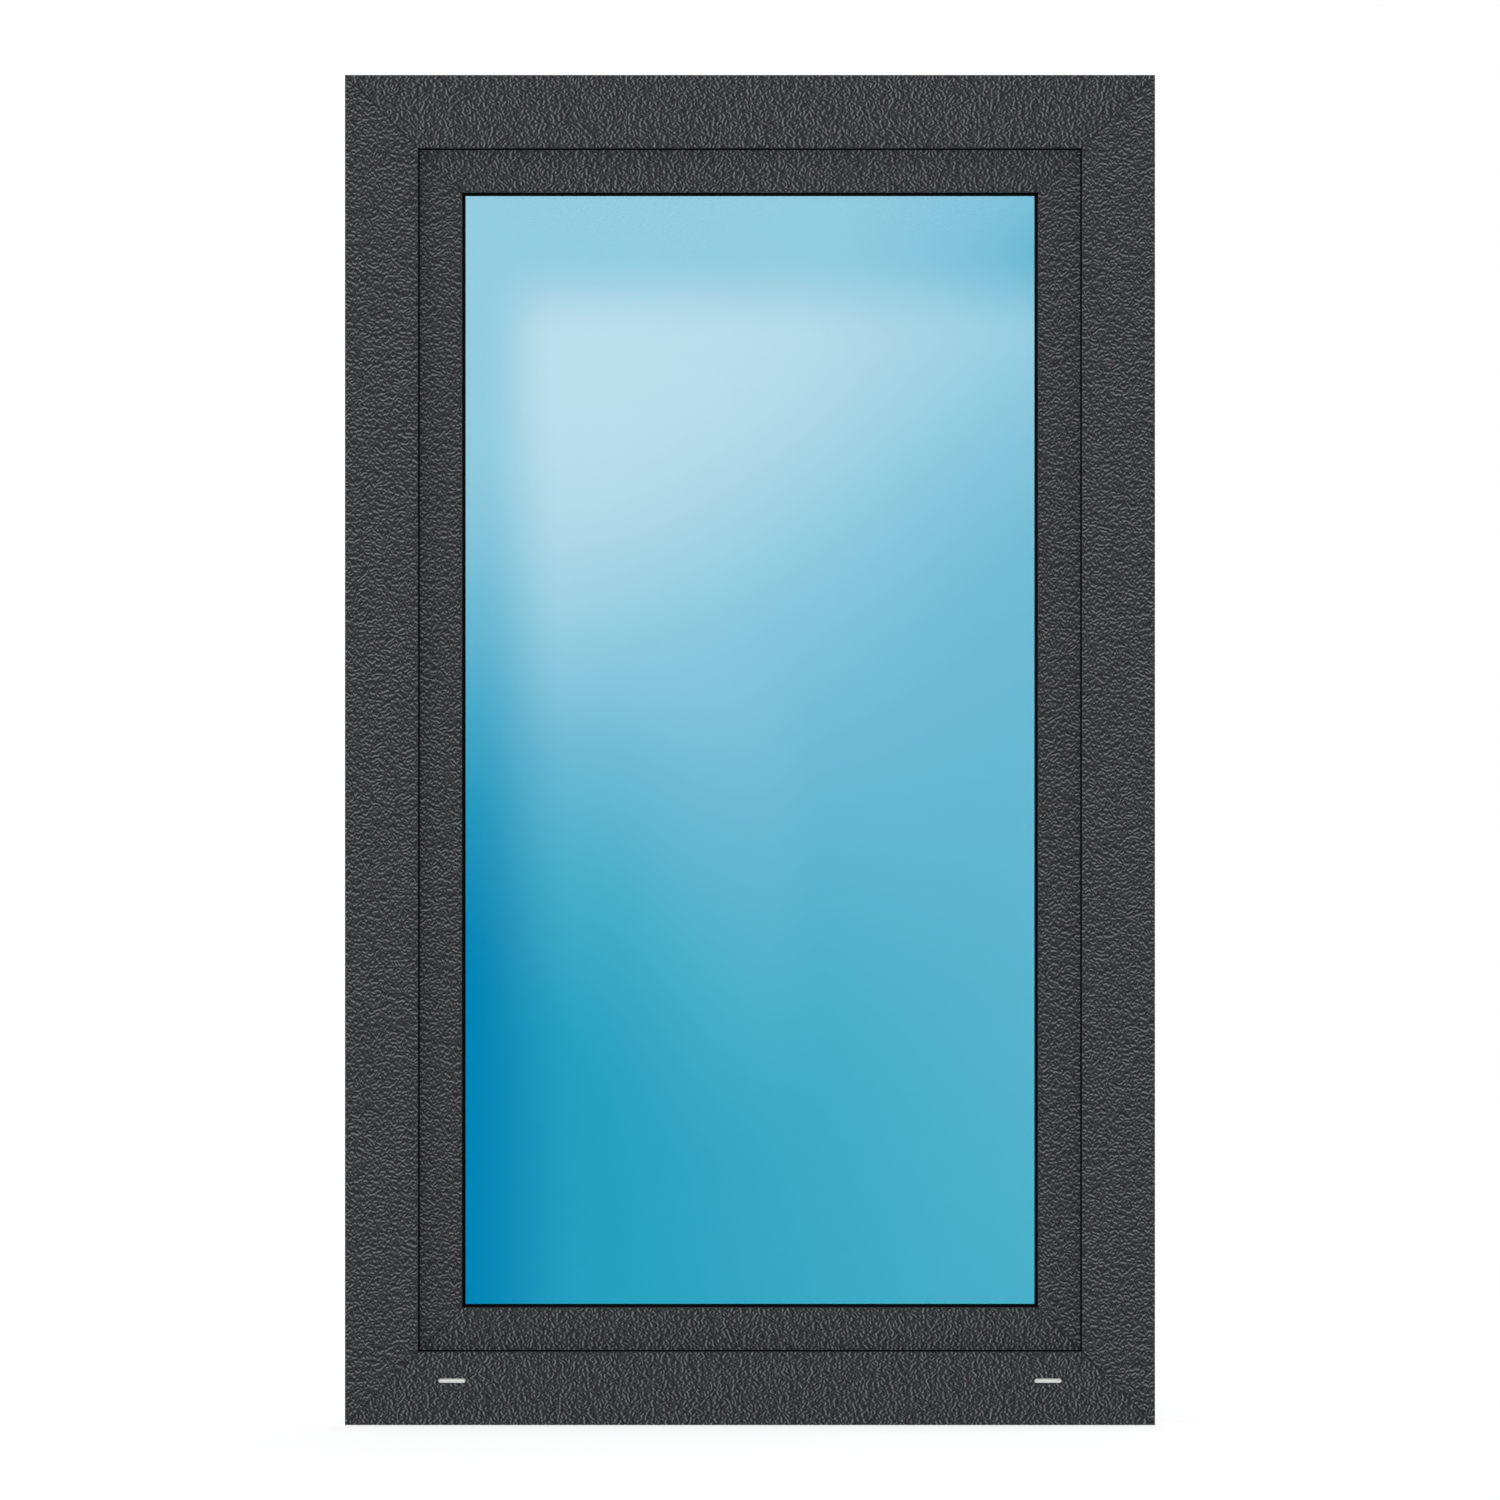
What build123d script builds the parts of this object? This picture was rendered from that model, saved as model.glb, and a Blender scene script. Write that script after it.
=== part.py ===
"""Single-leaf plastic window: outer frame, one glazed sash, gaskets, handle and hinges.

X runs to the right as seen from outside, Y runs into the room and Z runs up. The origin is on the
underside of the sill member, midway along it and midway through the depth of the outer frame.
Every profile is drawn in two coordinates: u runs inward from the outer edge of the frame, and
v runs into the room from the outside face of the frame.
"""

import os

from build123d import *

# Overall size
window_width = 810.0
window_height = 1350.0

# Plastic profile walls
outer_wall = 2.8
inner_web = 1.4
edge_radius = 2.0

# Outer frame profile
frame_depth = 70.0
frame_face = 73.0
frame_rebate = 22.0
frame_front_chamber = 3.5
frame_lip_chamber = 3.5
frame_body_chambers = 3
channel_depth = 5.0
channel_width = 14.0
channel_ramp = 3.0
wall_groove_width = 12.0
wall_groove_depth = 3.5
wall_groove_undercut = 1.5
wall_groove_inset = 10.0

# Drain slots and fixing holes of the outer frame
drain_length = 27.4
drain_width = 4.3
drain_inset = 107.0
drain_height = 44.35
drain_offset = 60.0
fixing_hole_radius = 3.1
fixing_end_distance = 200.0

# Sash profile
seal_gap = 3.5
sash_clearance = 12.0
sash_width = 53.7
sash_cover = 8.0
sash_front_chamber = 9.8
overlap_chamber = 6.8
glass_rebate = 20.0
hardware_groove_width = 16.0
hardware_groove_depth = 9.0
hardware_groove_inset = 5.0

# Gaskets
gasket_groove_width = 3.0
gasket_groove_depth = 3.0
gasket_groove_inset = 4.0
gasket_play = 0.3
gasket_flange = 1.0
gasket_lip = 0.8
stop_gasket_reveal = 1.6
glazing_gasket_reveal = 3.4
bead_gasket_reveal = 2.5
overlap_gasket_setback = 0.6

# Glass unit
pane_thickness = 4.0
pane_seam = 0.5
glass_cavity = 16.0
glass_clearance = 5.0
outer_bedding = 4.0
inner_bedding = 3.5
edge_seal_height = 4.0
spacer_height = 7.0
block_length = 100.0
block_margin = 1.5
block_end_distance = 80.0

# Glazing bead
bead_height = 20.3
bead_nose = 5.0
bead_heel = 4.0
bead_arch = 3.0
bead_setback = 1.0
bead_groove_width = 5.0
bead_groove_depth = 5.0
bead_play = 0.3

# Handle
handle_height = 675.0
handle_backset = 15.5
rosette_width = 30.0
rosette_height = 68.0
rosette_corner = 9.0
rosette_thickness = 11.0
rosette_draft = 6.0
rosette_edge = 1.8
collar_radius = 10.5
collar_length = 4.0
lever_reach = 47.0
lever_length = 122.0
lever_width = 19.0
lever_thickness = 12.0
lever_corner = 5.0
lever_bend = 14.0
lever_tip_edge = 2.0

# Hinges
hinge_length = 80.0
hinge_end_distance = 130.0
hinge_plate = 3.0
hinge_plate_corner = 4.0
hinge_side_gap = 0.5
barrel_radius = 7.0
sash_knuckle = 30.0
knuckle_gap = 0.4
frame_leaf_reach = 20.0
sash_leaf_reach = 24.0
pin_radius = 3.0
pin_play = 0.15
pin_head_radius = 5.0
pin_head_height = 2.5
pin_head_edge = 0.8

# Places across the frame profile
frame_lip = 2 * outer_wall + frame_front_chamber + inner_web + frame_lip_chamber
rebate_floor = frame_face - frame_rebate
channel_floor = rebate_floor - channel_depth
channel_end = frame_lip + channel_width
stop_groove_end = frame_face - gasket_groove_inset
stop_groove_start = stop_groove_end - gasket_groove_width
chamber_back = wall_groove_depth + outer_wall

# Places across the sash profile
sash_edge = rebate_floor + sash_clearance
sash_tip = sash_edge + sash_width
sash_front = frame_lip + seal_gap
sash_lip = outer_wall + sash_front_chamber + inner_web + gasket_groove_depth
sash_lip_inner = sash_front + sash_lip
overlap_edge = rebate_floor - sash_cover
overlap_face = frame_depth + seal_gap
sash_inner = overlap_face + gasket_groove_depth + inner_web + overlap_chamber + outer_wall
glass_floor = sash_tip - glass_rebate
glazing_groove_end = sash_tip - gasket_groove_inset - gasket_groove_width / 2
glazing_groove_start = glazing_groove_end - gasket_groove_width
overlap_groove_start = overlap_edge + gasket_groove_inset / 2
overlap_groove_end = overlap_groove_start + gasket_groove_width
hardware_groove_end = overlap_face - hardware_groove_inset
hardware_groove_start = hardware_groove_end - hardware_groove_width
hardware_groove_floor = sash_edge + hardware_groove_depth

# Places of the glass unit and its beads
outer_pane_face = sash_lip_inner + outer_bedding
cavity_face = outer_pane_face + pane_thickness
inner_pane_face = cavity_face + glass_cavity
glass_back = inner_pane_face + pane_thickness
glass_edge = glass_floor + glass_clearance
spacer_edge = glass_edge + edge_seal_height
bead_face = glass_back + inner_bedding
bead_back = sash_inner - bead_setback
bead_tip = glass_floor + bead_height
bead_groove_floor = glass_floor - bead_groove_depth
bead_groove_middle = (bead_face + bead_back) / 2

# Planes: one for the section of each side, and one parallel to the window's face
outside_y = -frame_depth / 2
half_width = window_width / 2
half_height = window_height / 2
side_planes = {
    "bottom": Plane(origin=(0, outside_y, 0), x_dir=(0, 0, 1), z_dir=(-1, 0, 0)),
    "top": Plane(origin=(0, outside_y, window_height), x_dir=(0, 0, -1), z_dir=(1, 0, 0)),
    "left": Plane(origin=(-half_width, outside_y, half_height), x_dir=(1, 0, 0), z_dir=(0, 0, 1)),
    "right": Plane(origin=(half_width, outside_y, half_height), x_dir=(-1, 0, 0), z_dir=(0, 0, -1)),
}
half_lengths = {"bottom": half_width, "top": half_width, "left": half_height, "right": half_height}


def face_plane(v, height=half_height, x=0):
    """A plane parallel to the window's face at depth v, with its normal into the room."""
    return Plane(origin=(x, outside_y + v, height), x_dir=(1, 0, 0), z_dir=(0, 1, 0))


def save(piece, name):
    """Label a finished piece and write it out."""
    piece.label = name
    export_step(piece, f"parts/{name}.step")


def region(u_low, u_high, v_low, v_high, mode=Mode.SUBTRACT):
    """A rectangle of a profile between two places across and two places through it."""
    with Locations(((u_low + u_high) / 2, (v_low + v_high) / 2)):
        Rectangle(u_high - u_low, v_high - v_low, mode=mode)


def corner(sketch, u, v):
    """The vertex of a profile nearest to a place."""
    return sketch.vertices().sort_by_distance((u, v, 0))[0]


def cut_mitres(side):
    """Cut both ends of a bar at 45 degrees through the outer corners of the window."""
    plane = side_planes[side]
    for end in (1, -1):
        outer_corner = plane.origin + plane.z_dir * (end * half_lengths[side])
        mitre = Plane(origin=outer_corner, z_dir=plane.x_dir + plane.z_dir * end)
        split(bisect_by=mitre, keep=Keep.BOTTOM)


def wall_groove(middle):
    """An undercut groove in the wall side of the frame, for clips and sill connectors."""
    mouth = wall_groove_width / 2 - wall_groove_undercut
    floor = wall_groove_width / 2
    Polygon(
        (0, middle - mouth),
        (wall_groove_depth, middle - floor),
        (wall_groove_depth, middle + floor),
        (0, middle + mouth),
        align=None,
        mode=Mode.SUBTRACT,
    )


def frame_section(plane):
    """The chambered profile of the outer frame."""
    lip_chamber_start = outer_wall + frame_front_chamber + inner_web
    body_start = lip_chamber_start + frame_lip_chamber + inner_web
    body_depth = frame_depth - outer_wall - body_start
    pitch = (body_depth + inner_web) / frame_body_chambers
    groove_middle = wall_groove_inset + wall_groove_width / 2
    with BuildSketch(plane) as section:
        with BuildLine():
            Polyline(
                (0, 0),
                (frame_face, 0),
                (frame_face, frame_lip),
                (channel_floor, frame_lip),
                (channel_floor, channel_end),
                (rebate_floor, channel_end + channel_ramp),
                (rebate_floor, frame_depth),
                (0, frame_depth),
                close=True,
            )
        make_face()
        fillet(corner(section, frame_face, 0), edge_radius)
        fillet(corner(section, rebate_floor, frame_depth), edge_radius)
        wall_groove(groove_middle)
        wall_groove(frame_depth - groove_middle)
        region(stop_groove_start, stop_groove_end, frame_lip - gasket_groove_depth, frame_lip)
        region(chamber_back, frame_face - outer_wall, outer_wall, outer_wall + frame_front_chamber)
        region(
            chamber_back,
            stop_groove_start - outer_wall,
            lip_chamber_start,
            lip_chamber_start + frame_lip_chamber,
        )
        for number in range(frame_body_chambers):
            chamber_start = body_start + number * pitch
            chamber_end = chamber_start + pitch - inner_web
            region(chamber_back, channel_floor - outer_wall, chamber_start, chamber_end)
    return section.sketch


def sash_section(plane):
    """The chambered profile of the sash, with its overlap on the room side and its glass rebate."""
    front_start = sash_front + outer_wall
    front_end = front_start + sash_front_chamber
    back_end = sash_inner - outer_wall
    with BuildSketch(plane) as section:
        with BuildLine():
            Polyline(
                (sash_edge, sash_front),
                (sash_tip, sash_front),
                (sash_tip, sash_lip_inner),
                (glass_floor, sash_lip_inner),
                (glass_floor, sash_inner),
                (overlap_edge, sash_inner),
                (overlap_edge, overlap_face),
                (sash_edge, overlap_face),
                close=True,
            )
        make_face()
        fillet(corner(section, sash_tip, sash_front), edge_radius)
        fillet(corner(section, overlap_edge, sash_inner), edge_radius)
        region(
            glazing_groove_start,
            glazing_groove_end,
            sash_lip_inner - gasket_groove_depth,
            sash_lip_inner,
        )
        region(
            overlap_groove_start,
            overlap_groove_end,
            overlap_face,
            overlap_face + gasket_groove_depth,
        )
        region(sash_edge, hardware_groove_floor, hardware_groove_start, hardware_groove_end)
        region(
            bead_groove_floor,
            glass_floor,
            bead_groove_middle - bead_groove_width / 2,
            bead_groove_middle + bead_groove_width / 2,
        )
        region(sash_edge + outer_wall, sash_tip - outer_wall, front_start, front_end)
        region(
            sash_edge + outer_wall,
            glass_floor - outer_wall,
            front_end + inner_web,
            hardware_groove_start - inner_web,
        )
        region(
            hardware_groove_floor + inner_web,
            bead_groove_floor - inner_web,
            hardware_groove_start,
            back_end,
        )
        region(
            overlap_edge + outer_wall,
            hardware_groove_floor,
            overlap_face + gasket_groove_depth + inner_web,
            back_end,
        )
    return section.sketch


def bead_section(plane):
    """The glazing bead: an arched face to the room and a foot that clips into the sash."""
    with BuildSketch(plane) as section:
        with BuildLine():
            Polyline(
                (glass_floor + bead_heel, bead_back),
                (glass_floor, bead_back),
                (glass_floor, bead_face),
                (bead_tip, bead_face),
                (bead_tip, bead_face + bead_nose),
            )
            SagittaArc(
                (bead_tip, bead_face + bead_nose),
                (glass_floor + bead_heel, bead_back),
                -bead_arch,
            )
        make_face()
        region(
            bead_groove_floor + bead_play,
            glass_floor,
            bead_groove_middle - bead_groove_width / 2 + bead_play,
            bead_groove_middle + bead_groove_width / 2 - bead_play,
            Mode.ADD,
        )
    return section.sketch


def make_bars(section_of, names):
    """Four bars of one profile, mitred at their ends, as finished parts by side."""
    bars = {}
    for side in names:
        with BuildPart() as bar:
            extrude(section_of(side_planes[side]), amount=half_lengths[side], both=True)
            cut_mitres(side)
        bars[side] = bar.part
    return bars


def frame_with_holes(bar, side):
    """An outer frame bar with the drain slots of the sill or the fixing holes of a jamb.

    Water runs from the channel into the front chamber, and from there out of the face, through slots
    that are set apart so that wind can't blow straight in.
    """
    plane = side_planes[side]
    front_chamber_end = outer_wall + frame_front_chamber
    with BuildPart() as member:
        add(bar)
        if side == "bottom":
            face_slot_x = half_width - drain_inset
            with BuildSketch(face_plane(0, drain_height)):
                with Locations((-face_slot_x, 0), (face_slot_x, 0)):
                    SlotOverall(drain_length, drain_width)
            extrude(amount=outer_wall, mode=Mode.SUBTRACT)
            channel_slot_x = face_slot_x - drain_offset
            with BuildSketch(face_plane(front_chamber_end, channel_floor + drain_width / 2)):
                with Locations((-channel_slot_x, 0), (channel_slot_x, 0)):
                    SlotOverall(drain_length, drain_width)
            extrude(amount=frame_lip - front_chamber_end, mode=Mode.SUBTRACT)
        if side in ("left", "right"):
            heights = (fixing_end_distance, half_height, window_height - fixing_end_distance)
            drillings = [Plane(origin=(plane.origin.X, 0, z), z_dir=-plane.x_dir) for z in heights]
            with Locations(*drillings):
                Hole(fixing_hole_radius, depth=frame_face)
    return member.part


def make_ring(section):
    """A closed gasket of one section, run round the four sides of the window."""
    with BuildPart() as ring:
        with BuildLine(face_plane(0)):
            Polyline(
                (0, half_height),
                (-half_width, half_height),
                (-half_width, -half_height),
                (half_width, -half_height),
                (half_width, half_height),
                close=True,
            )
        sweep(section, transition=Transition.RIGHT)
    return ring.part


def stop_gasket_section():
    """A flap seal: its foot is in the frame's stop and its flap bears on the sash."""
    tip = frame_face + stop_gasket_reveal
    with BuildSketch(side_planes["bottom"]) as section:
        Polygon(
            (stop_groove_start - gasket_flange, frame_lip),
            (stop_groove_end + gasket_flange, frame_lip),
            (tip, sash_front - 2 * gasket_lip),
            (tip, sash_front),
            (tip - gasket_groove_width, sash_front),
            (stop_groove_start - gasket_flange, frame_lip + seal_gap / 2),
            align=None,
        )
        region(
            stop_groove_start + gasket_play,
            stop_groove_end - gasket_play,
            frame_lip - gasket_groove_depth + gasket_play,
            frame_lip,
            Mode.ADD,
        )
    return section.sketch


def overlap_gasket_section():
    """A flap seal: its foot is in the sash's overlap and its flap bears on the frame."""
    tip = overlap_edge + overlap_gasket_setback
    with BuildSketch(side_planes["bottom"]) as section:
        Polygon(
            (overlap_groove_end + gasket_flange, overlap_face),
            (overlap_groove_start - gasket_flange, overlap_face),
            (tip, frame_depth + 2 * gasket_lip),
            (tip, frame_depth),
            (tip + gasket_groove_width, frame_depth),
            (overlap_groove_end + gasket_flange, frame_depth + seal_gap / 2),
            align=None,
        )
        region(
            overlap_groove_start + gasket_play,
            overlap_groove_end - gasket_play,
            overlap_face,
            overlap_face + gasket_groove_depth - gasket_play,
            Mode.ADD,
        )
    return section.sketch


def glazing_gasket_section():
    """The outside glass seal: a wedge from the sash's lip to the glass, with a foot in the lip."""
    tip = sash_tip + glazing_gasket_reveal
    with BuildSketch(side_planes["bottom"]) as section:
        Polygon(
            (glazing_groove_start - gasket_flange, sash_lip_inner),
            (sash_tip, sash_lip_inner),
            (tip, outer_pane_face - gasket_lip),
            (tip, outer_pane_face),
            (glazing_groove_start - gasket_flange, outer_pane_face),
            align=None,
        )
        region(
            glazing_groove_start + gasket_play,
            glazing_groove_end - gasket_play,
            sash_lip_inner - gasket_groove_depth + gasket_play,
            sash_lip_inner,
            Mode.ADD,
        )
    return section.sketch


def bead_gasket_section():
    """The room-side glass seal: a wedge between the glass and the bead."""
    tip = bead_tip + bead_gasket_reveal
    with BuildSketch(side_planes["bottom"]) as section:
        Polygon(
            (glazing_groove_start - gasket_flange, bead_face),
            (bead_tip, bead_face),
            (tip, glass_back + gasket_lip),
            (tip, glass_back),
            (glazing_groove_start - gasket_flange, glass_back),
            align=None,
        )
    return section.sketch


def make_pane(face):
    """One pane of the glass unit, with seamed edges."""
    with BuildPart() as pane:
        with BuildSketch(face_plane(face)):
            Rectangle(window_width - 2 * glass_edge, window_height - 2 * glass_edge)
        extrude(amount=pane_thickness)
        chamfer(pane.edges(), pane_seam)
    return pane.part


def make_cavity_ring(outer_u, inner_u):
    """A rectangular ring that fills the cavity between the panes from one place to another."""
    with BuildPart() as ring:
        with BuildSketch(face_plane(cavity_face)):
            Rectangle(window_width - 2 * outer_u, window_height - 2 * outer_u)
            Rectangle(window_width - 2 * inner_u, window_height - 2 * inner_u, mode=Mode.SUBTRACT)
        extrude(amount=glass_cavity)
    return ring.part


def make_setting_blocks():
    """Two blocks under the glass that carry its weight on the bottom rail."""
    first = half_width - glass_edge - block_end_distance - block_length / 2
    with BuildPart() as blocks:
        with BuildSketch(face_plane(outer_pane_face - block_margin, glass_floor)):
            with Locations((-first, 0), (first, 0)):
                Rectangle(block_length, glass_clearance, align=(Align.CENTER, Align.MAX))
        extrude(amount=glass_back - outer_pane_face + 2 * block_margin)
    return blocks.part


def make_rosette(plane):
    """The handle's base plate, with drafted sides and a bevelled front."""
    with BuildPart() as rosette:
        with BuildSketch(plane):
            RectangleRounded(rosette_width, rosette_height, rosette_corner)
        extrude(amount=rosette_thickness, taper=rosette_draft)
        chamfer(rosette.faces().sort_by(Axis.Y)[-1].edges(), rosette_edge)
    return rosette.part


def make_lever(plane):
    """The handle's lever: a collar, and a grip bent down into the closed position."""
    with BuildPart() as lever:
        with BuildSketch(plane):
            Circle(collar_radius)
        extrude(amount=collar_length)
        with BuildLine(Plane(origin=plane.origin, x_dir=(0, 1, 0), z_dir=(1, 0, 0))):
            FilletPolyline((0, 0), (lever_reach, 0), (lever_reach, -lever_length), radius=lever_bend)
        with BuildSketch(plane):
            RectangleRounded(lever_width, lever_thickness, lever_corner)
        sweep()
        chamfer(lever.faces().sort_by(Axis.Z)[0].edges(), lever_tip_edge)
    return lever.part


def hinge_section_plane(height):
    """A level plane at the right jamb, in the coordinates of the profiles, with its normal down."""
    return Plane(origin=(half_width, outside_y, height), x_dir=(-1, 0, 0), z_dir=(0, 0, -1))


def drill_barrel(height):
    """Cut the bore of the pin through a hinge leaf."""
    with BuildSketch(hinge_section_plane(height)) as bore:
        with Locations((hinge_u, hinge_v)):
            Circle(pin_radius + pin_play)
    extrude(bore.sketch, amount=hinge_length, mode=Mode.SUBTRACT)


def make_frame_leaf(top):
    """The leaf on the frame: a plate with a knuckle on a foot at each end."""
    with BuildPart() as leaf:
        with BuildSketch(hinge_section_plane(top)):
            region(
                hinge_u - barrel_radius - frame_leaf_reach,
                hinge_u + barrel_radius,
                frame_depth,
                frame_depth + hinge_plate,
                Mode.ADD,
            )
        extrude(amount=hinge_length)
        plate_corners = leaf.edges().filter_by(Axis.Y).group_by(Axis.X)[-1]
        fillet(plate_corners, hinge_plate_corner)
        for knuckle_top in (top, top - hinge_length + frame_knuckle):
            with BuildSketch(hinge_section_plane(knuckle_top)):
                with Locations((hinge_u, hinge_v)):
                    Circle(barrel_radius)
                region(hinge_u - barrel_radius, hinge_u + barrel_radius, frame_depth, hinge_v, Mode.ADD)
            extrude(amount=frame_knuckle)
        drill_barrel(top)
    return leaf.part


def make_sash_leaf(top):
    """The leaf on the sash: a plate over the sash's face with one knuckle between the others."""
    plate_start = overlap_edge + hinge_side_gap
    plate_end = overlap_edge + sash_leaf_reach
    with BuildPart() as leaf:
        with BuildSketch(hinge_section_plane(top)):
            region(plate_start, plate_end, sash_inner, sash_inner + hinge_plate, Mode.ADD)
        extrude(amount=hinge_length)
        plate_corners = leaf.edges().filter_by(Axis.Y).group_by(Axis.X)[0]
        fillet(plate_corners, hinge_plate_corner)
        with BuildSketch(hinge_section_plane(top - frame_knuckle - knuckle_gap)):
            with Locations((hinge_u, hinge_v)):
                Circle(barrel_radius)
            region(hinge_u, plate_end, sash_inner, sash_inner + hinge_plate, Mode.ADD)
        extrude(amount=sash_knuckle)
        drill_barrel(top)
    return leaf.part


def make_hinge_pin(top):
    """The hinge pin, with a chamfered head at both ends of the barrel."""
    with BuildPart() as pin:
        with BuildSketch(hinge_section_plane(top)):
            with Locations((hinge_u, hinge_v)):
                Circle(pin_radius)
        extrude(amount=hinge_length)
        for head_top in (top + pin_head_height, top - hinge_length):
            with BuildSketch(hinge_section_plane(head_top)):
                with Locations((hinge_u, hinge_v)):
                    Circle(pin_head_radius)
            extrude(amount=pin_head_height)
        head_faces = [pin.faces().sort_by(Axis.Z)[0], pin.faces().sort_by(Axis.Z)[-1]]
        chamfer([edge for face in head_faces for edge in face.edges()], pin_head_edge)
    return pin.part


os.makedirs("parts", exist_ok=True)

# Outer frame
frame_names = {
    "bottom": "frame_sill",
    "top": "frame_head",
    "left": "frame_jamb_left",
    "right": "frame_jamb_right",
}
for side, bar in make_bars(frame_section, frame_names).items():
    save(frame_with_holes(bar, side), frame_names[side])

# Sash
sash_names = {
    "bottom": "sash_bottom_rail",
    "top": "sash_top_rail",
    "left": "sash_stile_left",
    "right": "sash_stile_right",
}
for side, bar in make_bars(sash_section, sash_names).items():
    save(bar, sash_names[side])

# Glazing beads
bead_names = {side: f"glazing_bead_{side}" for side in side_planes}
for side, bar in make_bars(bead_section, bead_names).items():
    save(bar, bead_names[side])

# Glass unit
save(make_pane(outer_pane_face), "outer_pane")
save(make_pane(inner_pane_face), "inner_pane")
save(make_cavity_ring(glass_edge, spacer_edge), "edge_seal")
save(make_cavity_ring(spacer_edge, spacer_edge + spacer_height), "spacer_bar")
save(make_setting_blocks(), "setting_blocks")

# Gaskets
save(make_ring(stop_gasket_section()), "frame_stop_gasket")
save(make_ring(overlap_gasket_section()), "sash_overlap_gasket")
save(make_ring(glazing_gasket_section()), "glazing_gasket")
save(make_ring(bead_gasket_section()), "bead_gasket")

# Handle, on the left stile as seen from outside
handle_x = sash_edge + handle_backset - half_width
save(make_rosette(face_plane(sash_inner, handle_height, handle_x)), "handle_rosette")
lever_plane = face_plane(sash_inner + rosette_thickness, handle_height, handle_x)
save(make_lever(lever_plane), "handle_lever")

# Hinges, on the right jamb as seen from outside
hinge_u = overlap_edge - hinge_side_gap - barrel_radius
hinge_v = sash_inner + hinge_plate - barrel_radius
frame_knuckle = (hinge_length - sash_knuckle) / 2 - knuckle_gap
hinge_tops = {
    "top": window_height - hinge_end_distance + hinge_length / 2,
    "bottom": hinge_end_distance + hinge_length / 2,
}
for place, top in hinge_tops.items():
    save(make_frame_leaf(top), f"hinge_{place}_frame_leaf")
    save(make_sash_leaf(top), f"hinge_{place}_sash_leaf")
    save(make_hinge_pin(top), f"hinge_{place}_pin")
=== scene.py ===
import math
from typing import NamedTuple

import bpy
from bpy.props import FloatProperty, FloatVectorProperty, IntProperty, PointerProperty
from mathutils import Euler, Matrix, Vector


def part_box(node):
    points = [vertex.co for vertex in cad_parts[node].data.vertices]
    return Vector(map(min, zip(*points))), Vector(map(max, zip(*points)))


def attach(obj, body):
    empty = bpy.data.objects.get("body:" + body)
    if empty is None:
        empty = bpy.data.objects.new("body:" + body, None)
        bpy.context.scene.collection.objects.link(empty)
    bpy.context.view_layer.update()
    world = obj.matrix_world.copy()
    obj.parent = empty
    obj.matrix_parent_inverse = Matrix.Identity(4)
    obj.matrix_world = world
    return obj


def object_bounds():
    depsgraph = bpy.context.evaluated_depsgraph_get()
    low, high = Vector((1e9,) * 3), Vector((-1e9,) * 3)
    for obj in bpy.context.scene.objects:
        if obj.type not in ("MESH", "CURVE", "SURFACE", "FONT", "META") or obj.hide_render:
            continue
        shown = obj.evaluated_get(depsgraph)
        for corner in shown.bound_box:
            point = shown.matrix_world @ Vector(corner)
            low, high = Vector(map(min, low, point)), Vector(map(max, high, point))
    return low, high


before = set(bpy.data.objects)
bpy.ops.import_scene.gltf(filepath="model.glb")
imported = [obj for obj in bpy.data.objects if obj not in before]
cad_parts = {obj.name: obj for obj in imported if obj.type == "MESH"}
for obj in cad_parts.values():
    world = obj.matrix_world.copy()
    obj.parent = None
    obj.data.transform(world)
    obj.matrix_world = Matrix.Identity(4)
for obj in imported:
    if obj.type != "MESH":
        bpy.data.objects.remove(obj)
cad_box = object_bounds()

bl_info = {
    "name": "Grained Plastic Window",
    "version": (1, 0, 0),
    "blender": (4, 5, 0),
    "location": "View3D > Sidebar > Window",
    "description": "Finishes a single-leaf plastic window and sets a plain stage round it",
    "category": "Object",
}

# Every length is in metres: X runs right as seen from outside, Y into the room and Z up
MILLIMETRE = 0.001

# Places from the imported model
window_low, window_high = cad_box
half_width = (window_high.x - window_low.x) / 2
window_height = window_high.z - window_low.z
sill_low, sill_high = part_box("frame_sill")
outside_face = sill_low.y
room_face = sill_high.y
frame_face = sill_high.z
pane_low, pane_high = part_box("outer_pane")

# Plastic under the foil, which shows on the wall side and in the chambers behind the drain slots
WALL_SIDE_DEPTH = 4 * MILLIMETRE
PROFILE_WALL = 2.8 * MILLIMETRE
FOIL_THICKNESS = 0.3 * MILLIMETRE
CHAMBER_DEPTH = 12.5 * MILLIMETRE
CHAMBER_INSET = 6.2 * MILLIMETRE

# Grain of the foil: the turn and shift of its noise, its ridges, and the tones of its colours, which paint
# light and shade on the two flanks of each ridge
NOISE_MIDDLE = 0.5
GRAIN_SLANT = Euler((0.6, 0.35, 0.5))
UPRIGHT_SHIFT = (31.7, 11.3, 47.1)
GRAIN_DETAIL = 0.5
RIDGE_WIDTH = 0.2
# Painted light and shade: the ridge is read this far to each side, so that one flank is painted lighter and
# the other darker, as if lit along the profile
FLANK_SHIFT = 0.22
SHADE_TONE = 0.28
FIELD_TONE = 0.42
LIT_FLANK_TONE = 0.75

# Faint coloured clouds of the foil
FOIL_CLOUD_SCALE = 90.0
FOIL_CLOUD_DETAIL = 2.0
COOL_CLOUD = (0.35, (0.95, 1.02, 1.0))
WARM_CLOUD = (0.65, (1.04, 0.98, 1.0))

# Glass
GLASS_IOR = 1.5
FACE_MIRROR = ((GLASS_IOR - 1) / (GLASS_IOR + 1)) ** 2
HAZE_SCALE = 6.0
HAZE_DETAIL = 2.0
HAZE_START = 0.3
HAZE_END = 0.7
HAZE_SHARE = 0.985

# Hinges and their screws: shares are of the screw head's radius inward and of its height upward
HINGE_PLATE = 3 * MILLIMETRE
SCREW_SIDES = 24
SOCKET_SIDES = 6
RIM_SHARE = 0.45
DOME_RINGS = ((0.14, 0.3), (0.26, 0.25))
SOCKET_DEPTH = 0.6
RIM_BEVEL = 0.06
SMOOTH_ANGLE = math.radians(35)
FACES_UP = 0.9
NEARLY = 0.01

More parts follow.
